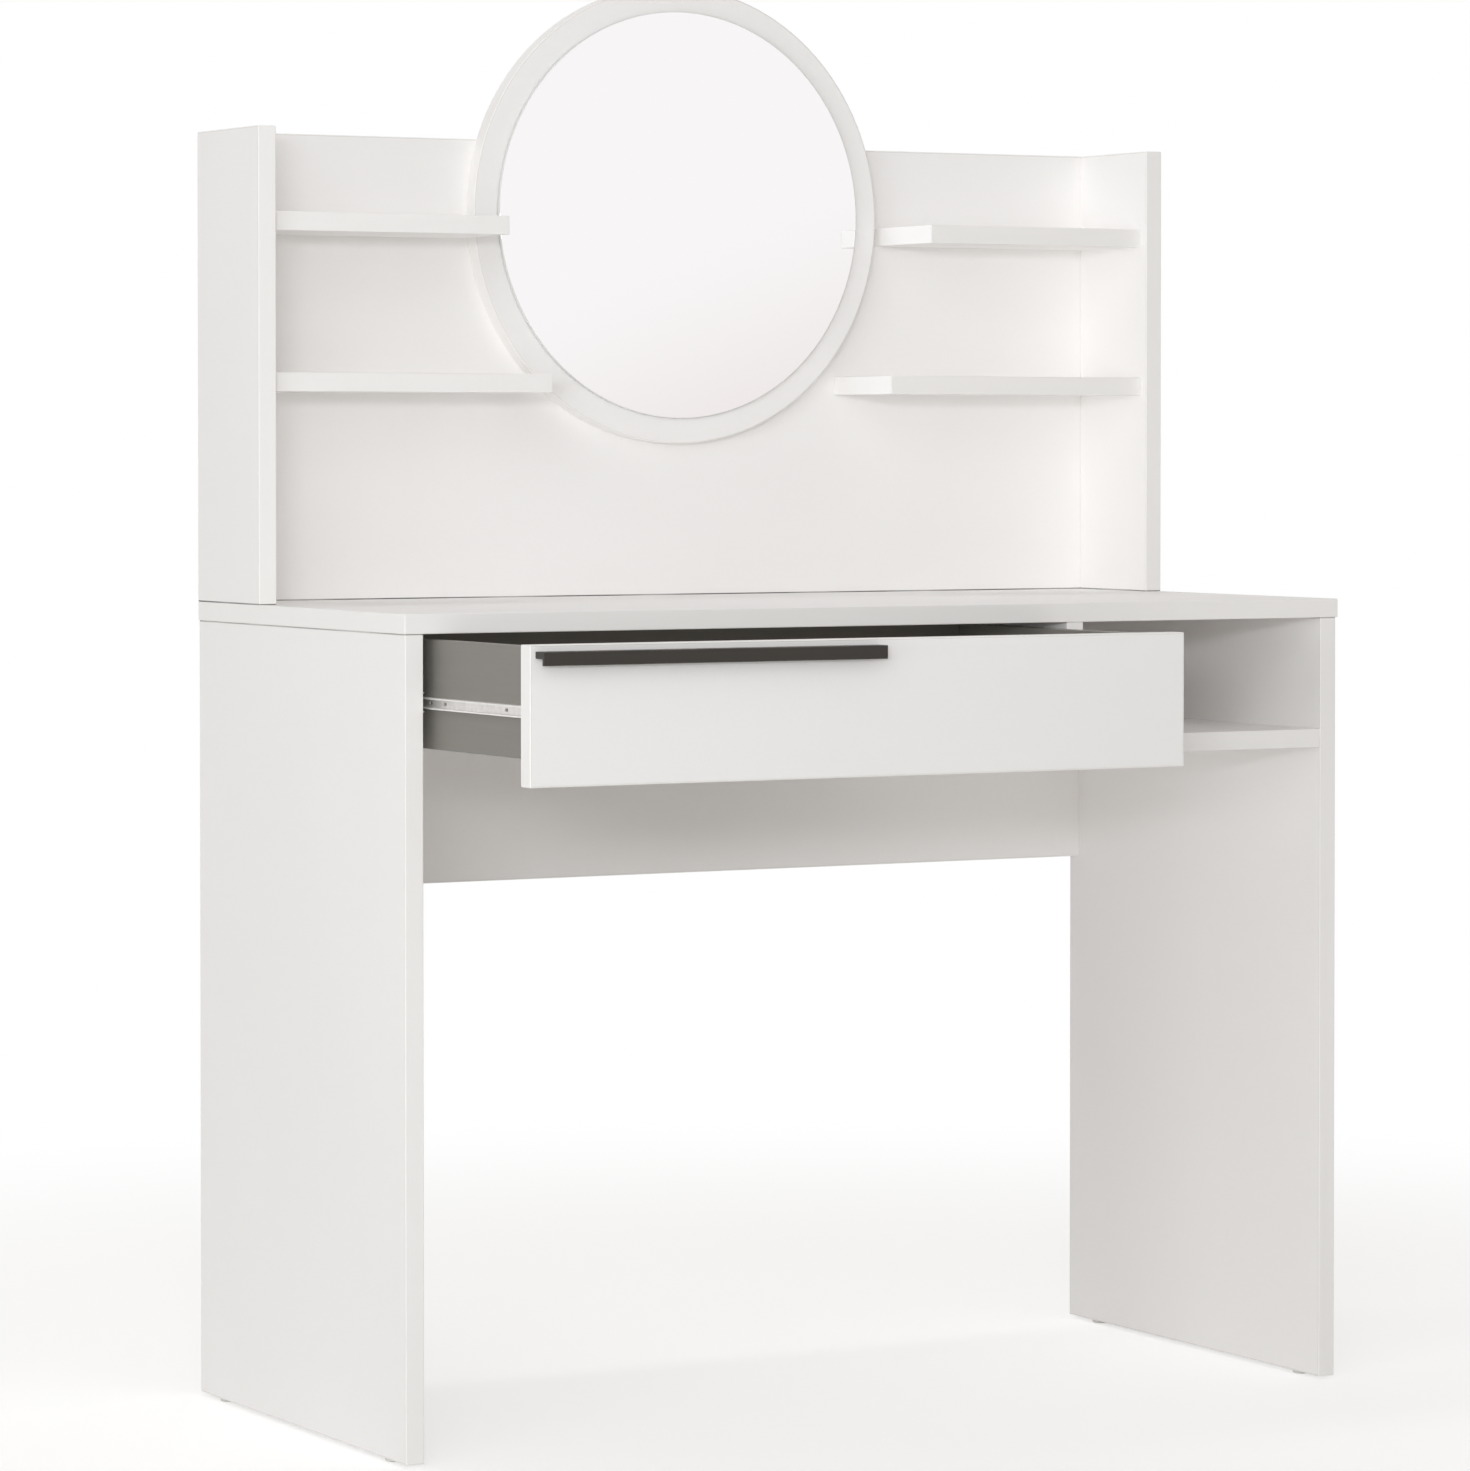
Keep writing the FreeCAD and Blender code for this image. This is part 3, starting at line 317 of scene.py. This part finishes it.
def zinc_sheet(name, low, high):
    """Bright zinc on rolled steel: faint spangle, and rolling streaks along the strip."""
    f = Finish(name)
    run = long_axis(low, high)
    streak = f.noise([18.0 if i == run else 1400.0 for i in range(3)], 2.0)
    spangle, cloud = f.cells(210.0, "Color"), f.noise(38.0, 3.0)
    shade = streak * 0.45 + f.axes(spangle)[0] * 0.25 + cloud * 0.30
    plate = f.tint(shade.rise(0.2, 0.8), (0.775, 0.764, 0.746), (0.89, 0.878, 0.858))
    return f.surface(Base_Color=plate, Metallic=1.0, Roughness=0.50 + cloud * 0.10 + streak * 0.06,
                     Normal=f.relief(streak, 0.006 * MM))


def bearing_steel(name, low, high):
    """Polished bearing steel with a film of grease in faint patches."""
    f = Finish(name)
    film = f.noise(420.0, 2.0)
    return f.surface(Base_Color=f.tint(film, (0.70, 0.70, 0.71), (0.83, 0.83, 0.83)), Metallic=1.0,
                     Roughness=0.06 + film.rise(0.45, 0.75) * 0.16)


def screw_zinc(name, low, high):
    """Bright zinc on turned steel: fine turning marks and darker patches from handling."""
    f = Finish(name)
    marks, cloud = f.noise(1700.0, 1.0), f.noise(150.0, 3.0)
    plate = f.tint(cloud.rise(0.3, 0.7), (0.50, 0.50, 0.50), (0.72, 0.72, 0.71))
    return f.surface(Base_Color=plate, Metallic=1.0, Roughness=0.24 + marks * 0.12 + cloud * 0.10,
                     Normal=f.relief(marks, 0.008 * MM))


def cast_zinc(name, low, high):
    """Die-cast zinc of the cam fittings: dull grey with a fine cast grain."""
    f = Finish(name)
    grain, cloud = f.noise(1300.0, 3.0, 0.65), f.noise(120.0, 3.0)
    grey = f.tint(grain * 0.5 + cloud * 0.5, (0.36, 0.36, 0.37), (0.60, 0.60, 0.60))
    return f.surface(Base_Color=grey, Metallic=1.0, Roughness=0.38 + grain * 0.2,
                     Normal=f.relief(grain, 0.03 * MM))


def beech_wood(name, low, high):
    """Pale beech of the dowels with short darker flecks."""
    f = Finish(name)
    fibre, fleck = f.noise((500.0, 160.0, 500.0), 3.0), f.noise(900.0, 1.0)
    wood = f.tint(fibre.rise(0.3, 0.7), (0.47, 0.31, 0.165), (0.66, 0.48, 0.29))
    return f.surface(Base_Color=f.tint(fleck.rise(0.62, 0.72) * 0.6, wood, (0.33, 0.19, 0.09)),
                     Roughness=0.62 + fibre * 0.15, Normal=f.relief(fibre, 0.06 * MM))


def glide_plastic(name, low, high):
    """White polyethylene glides, scuffed grey where they stand on the floor."""
    f = Finish(name)
    z = f.axes()[2]
    grain, cloud = f.noise(1100.0, 2.0), f.noise(260.0, 3.0)
    scuff = z.fall(low[2] + 0.1 * MM, low[2] + 0.7 * MM) * cloud.rise(0.35, 0.65)
    white = f.tint(cloud, (0.62, 0.61, 0.58), (0.72, 0.71, 0.68))
    return f.surface(Base_Color=f.tint(scuff * 0.5, white, (0.36, 0.35, 0.33)),
                     Roughness=0.40 + scuff * 0.25 + grain * 0.08, Normal=f.relief(grain, 0.03 * MM))


def black_plastic(name, low, high):
    """Black moulded plastic with a spark-eroded grain."""
    f = Finish(name)
    grain, cloud = f.noise(1500.0, 2.0), f.noise(90.0, 3.0)
    black = f.tint(grain * 0.5 + cloud * 0.5, (0.016, 0.016, 0.017), (0.045, 0.045, 0.046))
    return f.surface(Base_Color=black, Roughness=0.44 + grain * 0.2, Normal=f.relief(grain, 0.04 * MM))


FINISHES = {
    "white_melamine": white_board, "drawer_grey": drawer_foil, "grey_hardboard": drawer_hardboard,
    "dark_pull": pull_coating, "mirror": silvered_glass, "foam_tape": foam, "zinc_steel": zinc_sheet,
    "ball_steel": bearing_steel, "screw_steel": screw_zinc, "cam_zinc": cast_zinc, "beech": beech_wood,
    "glide_plastic": glide_plastic, "dark_plastic": black_plastic,
}
SHARED = {"foam_tape", "ball_steel", "screw_steel", "cam_zinc", "beech", "dark_plastic"}
shared = {}
for part in frame["record"]["subparts"]:
    node, slot = part["node"], part["material_slot"]
    low, high = (tuple(float(n) for n in corner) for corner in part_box(node))
    make = white_disc if node == "mirror_backboard" else FINISHES[slot]
    look = shared.get(slot) or make(slot if slot in SHARED else node, low, high)
    if slot in SHARED:
        shared[slot] = look
    slots = frame["nodes"][node].data.materials
    slots.clear()
    slots.append(look)


# ---------------------------------------------------------------- floor, light and camera
PURE_WHITE = (1.0, 1.0, 1.0, 1.0)
FLOOR_REACH, FLOOR_RINGS, FLOOR_SPOKES = 7.0, 8, 96
FLOOR_WHITENS = 0.9, 2.3
FLOOR_MATT, FLOOR_GLOW = (0.62, 0.62, 0.62, 1.0), 0.53
FLOOR_AS_LIGHT = (0.86, 0.855, 0.845, 1.0)
AIR_AS_LIGHT, AIR_STRENGTH = (1.0, 0.958, 0.925, 1.0), 0.484
BAND_MIDDLE, BAND_SLANT = 0.478, 0.465
LAMP_COLOUR = (0.965, 0.995, 1.01)


def pale_floor():
    """A flat round floor: rings of points whose radius grows evenly, at the object's lowest level.

    To the eye and in reflections it is a matt white with a glow of its own, and pure white far out. It
    passes light on as a duller white, and from below it can't be seen.
    """
    radius, turn = np.meshgrid(np.linspace(0.0, FLOOR_REACH, FLOOR_RINGS + 1)[1:],
                               np.linspace(0, 2 * np.pi, FLOOR_SPOKES + 1)[:-1], indexing="ij")
    points = np.c_[(radius * np.cos(turn)).ravel(), (radius * np.sin(turn)).ravel(), np.zeros(radius.size)]
    ring, spoke = np.meshgrid(np.arange(FLOOR_RINGS - 1), np.arange(FLOOR_SPOKES), indexing="ij")
    inner, outer, after = ring * FLOOR_SPOKES, (ring + 1) * FLOOR_SPOKES, (spoke + 1) % FLOOR_SPOKES
    faces = np.stack([inner + spoke, outer + spoke, outer + after, inner + after], -1).reshape(-1, 4)
    mesh = bpy.data.meshes.new("pale_floor")
    mesh.from_pydata(points.tolist(), [], [list(range(FLOOR_SPOKES))] + faces.tolist())
    floor = bpy.data.objects.new("pale_floor", mesh)
    bpy.context.scene.collection.objects.link(floor)
    f = Finish("pale_floor")
    x, y, _ = f.axes()
    far = (x * x + y * y).root().rise(*FLOOR_WHITENS)
    seen = f.ray("Camera").most(f.ray("Glossy")).most(f.ray("Transmission"))
    matt = f.node("ShaderNodeBsdfDiffuse", {}, {"Color": FLOOR_MATT})
    dull = f.node("ShaderNodeBsdfDiffuse", {}, {"Color": FLOOR_AS_LIGHT})
    white = f.node("ShaderNodeEmission", {}, {"Color": PURE_WHITE, "Strength": 1.0})
    glow = f.node("ShaderNodeEmission", {}, {"Color": PURE_WHITE, "Strength": FLOOR_GLOW})
    shown = f.node("ShaderNodeAddShader", {}, {0: matt, 1: glow})
    laid = f.mixed(far * seen, f.mixed(seen, dull, shown), white)
    clear = f.node("ShaderNodeBsdfTransparent")
    under = f.node("ShaderNodeNewGeometry", out="Backfacing")
    mesh.materials.append(f.shown(f.mixed(under, laid, clear)))


def studio_air():
    """White to the eye, softer as light, and in reflections white with a warmer band along the level."""
    world = bpy.data.worlds.new("studio_air")
    bpy.context.scene.world = world
    f = Finish("studio_air", world)
    x, _, up = f.axes(f.node("ShaderNodeTexCoord", out="Generated"))
    over, under = (up - (x - BAND_MIDDLE) * BAND_SLANT).rise(-0.01, 0.035), up.fall(-0.15, -0.04)
    haze = f.tint(over.most(under), (0.905, 0.853, 0.846), (1.0, 0.972, 0.982))
    light = f.node("ShaderNodeBackground", {}, {"Color": AIR_AS_LIGHT, "Strength": AIR_STRENGTH})
    sheen = f.node("ShaderNodeBackground", {}, {"Color": haze, "Strength": 1.0})
    white = f.node("ShaderNodeBackground", {}, {"Color": PURE_WHITE, "Strength": 1.0})
    seen = f.ray("Camera").most(f.ray("Transmission"))
    f.shown(f.mixed(seen, f.mixed(f.ray("Glossy"), light, sheen), white))


def soft_lamp(name, place, aim, wide, high, watts):
    """A rectangular soft lamp that faces a point, a shade cooler than the light of the room."""
    lamp = bpy.data.lights.new(name, "AREA")
    lamp.shape, lamp.size, lamp.size_y, lamp.energy = "RECTANGLE", wide, high, watts
    lamp.color = LAMP_COLOUR
    holder = bpy.data.objects.new(name, lamp)
    holder.location = place
    holder.rotation_euler = (Vector(aim) - Vector(place)).to_track_quat("-Z", "Y").to_euler()
    bpy.context.scene.collection.objects.link(holder)


pale_floor()
studio_air()
soft_lamp("front_left", (-3.0, -3.2, 2.2), (0.0, 0.0, 0.7), wide=3.0, high=3.0, watts=47.0)
soft_lamp("level_left", (-6.5, -2.4, 0.7), (0.1, 0.0, 0.6), wide=2.0, high=1.2, watts=56.0)
soft_lamp("beside_view", (-3.43, -5.32, 1.48), (0.3, 0.0, 0.68), wide=1.6, high=0.35, watts=66.0)
soft_lamp("over_back", (0.0, 0.75, 3.6), (0.0, 0.7, 0.0), wide=2.0, high=0.4, watts=12.0)

lens = bpy.data.cameras.new("front_left_view")
lens.lens, lens.sensor_width, lens.shift_y = 138.415, 36.0, -0.1169
view = bpy.data.objects.new("front_left_view", lens)
view.location = (-2.6687, -4.6068, 0.9091)
view.rotation_euler = (math.radians(88.75), 0.0, math.radians(-29.13))
bpy.context.scene.collection.objects.link(view)
bpy.context.scene.camera = view
bpy.context.scene.view_settings.view_transform = "Standard"

# Light is passed on many times between white boards, so it is followed for that long.
bpy.context.scene.cycles.diffuse_bounces = 12
bpy.context.scene.cycles.max_bounces = 16
